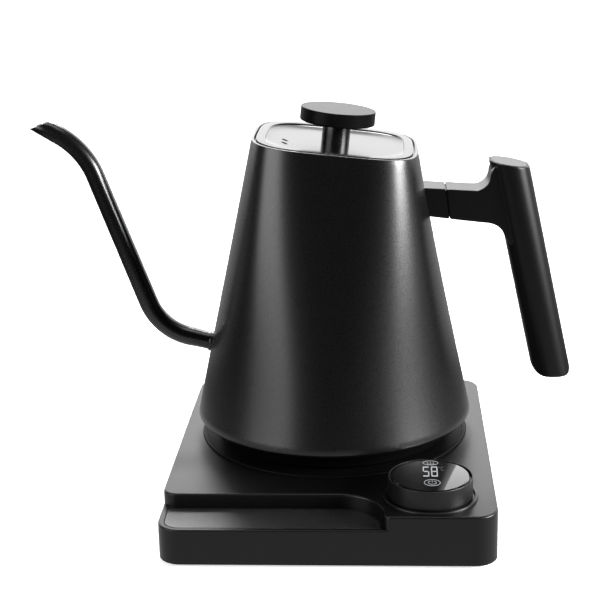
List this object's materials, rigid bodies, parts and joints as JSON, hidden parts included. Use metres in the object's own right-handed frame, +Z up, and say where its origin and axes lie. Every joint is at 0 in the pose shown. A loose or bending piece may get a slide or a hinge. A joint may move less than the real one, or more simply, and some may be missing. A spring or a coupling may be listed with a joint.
{
  "type": "electric kettle",
  "caption": "Tapered black gooseneck electric kettle with a slanted lid and side grip, lifting off a stepped power base with a round display knob.",
  "frame": {"origin": "on the table plane under the kettle's turning axis, at the middle of the centre foot", "axes": "+X toward the handle, -X toward the spout, -Y toward the front face with the display knob, +Z up"},
  "size_m": [0.2808, 0.1934, 0.2023],
  "materials": {
    "base_black": "satin",
    "seat_black": "matte",
    "shelf_grey": "fine sparkle grain",
    "cover_black": "matte",
    "foot_rubber": "matte",
    "screw_steel": "plain",
    "contact_brass": "plain",
    "board_green": "solder mask",
    "power_blue": "gloss",
    "glass_black": "gloss",
    "glyph_white": "lit",
    "dial_black": "black anodised satin",
    "body_paint": "satin black",
    "spout_paint": "semi gloss black",
    "steel_inner": "satin",
    "heater_alu": "cast",
    "heater_tube": "dull",
    "ceramic_white": "matte",
    "seal_silicone": "matte",
    "handle_black": "semi gloss",
    "core_steel": "plain",
    "lid_black": "satin black"
  },
  "bodies": {
    "base": {"base_shell": "base_black", "shelf_panel": "shelf_grey", "seat_plate": "seat_black", "base_bottom_cover": "cover_black", "base_feet": "foot_rubber", "base_screws": "screw_steel", "cord_gland": "cover_black", "base_connector": "cover_black", "base_contacts": "contact_brass", "main_board": "board_green", "power_parts": "power_blue", "display_board": "board_green", "display_module": "cover_black", "display_glass": "glass_black", "display_digits": "glyph_white", "display_icons": "glyph_white", "knob_collar": "base_black"},
    "dial": {"control_knob": "dial_black"},
    "coupler": {"kettle_connector": "cover_black", "connector_pin": "contact_brass"},
    "pot": {"kettle_body": "body_paint", "bottom_plate": "steel_inner", "heat_spreader": "heater_alu", "heating_element": "heater_tube", "temperature_sensor": "steel_inner", "thermal_cutout": "ceramic_white", "bottom_cover": "cover_black", "bottom_screws": "screw_steel", "bottom_seal": "seal_silicone", "spout": "spout_paint", "spout_collar": "spout_paint", "handle_bracket": "handle_black", "handle_grip": "handle_black", "handle_core": "core_steel", "handle_top_cap": "handle_black", "handle_weight": "core_steel", "handle_screws": "screw_steel"},
    "lid": {"lid_pan": "lid_black", "lid_skirt": "steel_inner", "lid_gasket": "seal_silicone", "lid_stem": "handle_black", "lid_knob": "lid_black", "lid_screw": "screw_steel"}
  },
  "joints": [
    {"name": "knob_turn", "type": "hinge", "parent": "base", "child": "dial", "pos_m": [0.0495, -0.0918, 0.032], "axis": [0, 0, 1], "continuous": true},
    {"name": "kettle_lift", "type": "slide", "parent": "base", "child": "coupler", "axis": [0, 0, 1], "range_m": [0, 0.12]},
    {"name": "kettle_swivel", "type": "hinge", "parent": "coupler", "child": "pot", "pos_m": [0, 0, 0.032], "axis": [0, 0, 1], "continuous": true},
    {"name": "lid_lift", "type": "slide", "parent": "pot", "child": "lid", "axis": [0.1115, 0, 0.9938], "range_m": [0, 0.06]}
  ]
}
